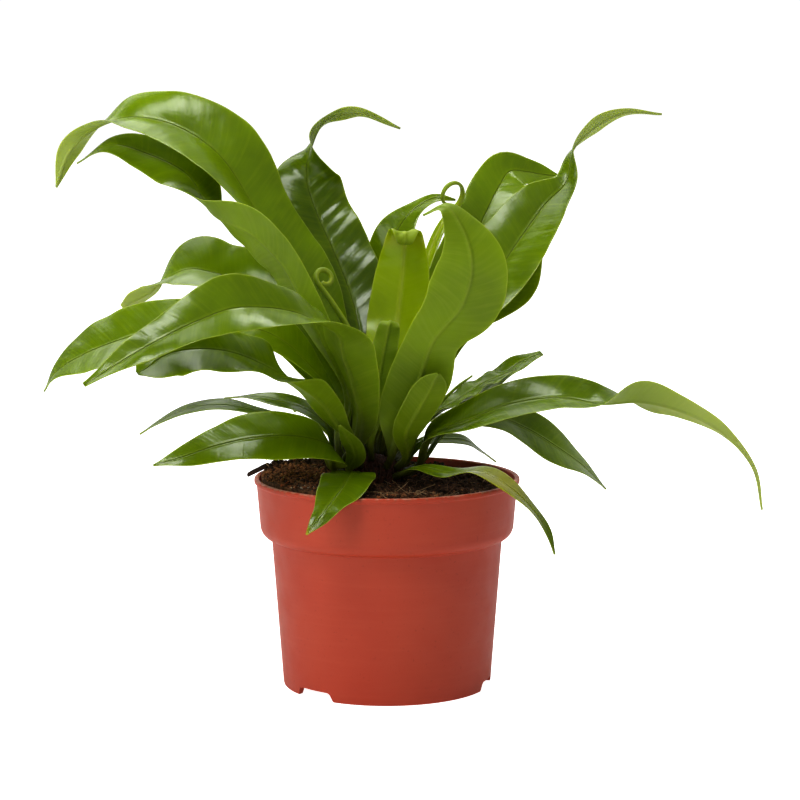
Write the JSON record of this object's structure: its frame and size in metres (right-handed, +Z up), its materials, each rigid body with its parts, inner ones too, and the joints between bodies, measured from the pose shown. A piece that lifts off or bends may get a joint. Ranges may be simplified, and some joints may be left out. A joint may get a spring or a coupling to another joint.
{
  "type": "potted spleenwort",
  "caption": "Bird's nest fern, a spleenwort with strap-shaped arching fronds on a scaly crown, growing in peat in a round tapered plastic nursery pot.",
  "frame": {"origin": "middle of the pot's underside, on the surface that it stands on", "axes": "+Z up along the pot's axis, -Y towards the plant's front, +X to the right as seen from the front"},
  "size_m": [0.322, 0.2278, 0.2672],
  "materials": {
    "pot_plastic": "satin",
    "peat": "matte",
    "crown": "matte",
    "bark": "matte",
    "grown_frond": "satin",
    "young_frond": "satin"
  },
  "bodies": {
    "root": {"bark_chip": "bark", "frond_back_centre": "grown_frond", "frond_back_left": "grown_frond", "frond_back_low": "grown_frond", "frond_back_low_left": "grown_frond", "frond_back_low_right": "grown_frond", "frond_back_middle": "grown_frond", "frond_broad_right": "grown_frond", "frond_crozier": "young_frond", "frond_finger_back": "grown_frond", "frond_finger_crinkled": "grown_frond", "frond_finger_front": "grown_frond", "frond_folded_tip": "grown_frond", "frond_front_fold": "grown_frond", "frond_high_arch": "grown_frond", "frond_left_lower": "grown_frond", "frond_left_middle": "grown_frond", "frond_left_upper": "grown_frond", "frond_long_right": "grown_frond", "frond_low_left": "grown_frond", "frond_over_rim_front": "grown_frond", "frond_over_rim_right": "grown_frond", "frond_right_lower": "grown_frond", "frond_ring_tip": "young_frond", "frond_second_arch": "grown_frond", "frond_short_round": "grown_frond", "frond_small_front": "grown_frond", "frond_small_right_back": "grown_frond", "frond_tall_back": "grown_frond", "frond_tall_lower": "grown_frond", "frond_tall_right": "grown_frond", "frond_thin_left": "grown_frond", "frond_thin_left_back": "grown_frond", "frond_young_bright": "young_frond", "frond_young_crinkled": "young_frond", "peat": "peat", "pot": "pot_plastic", "rhizome_crown": "crown"}
  },
  "joints": []
}
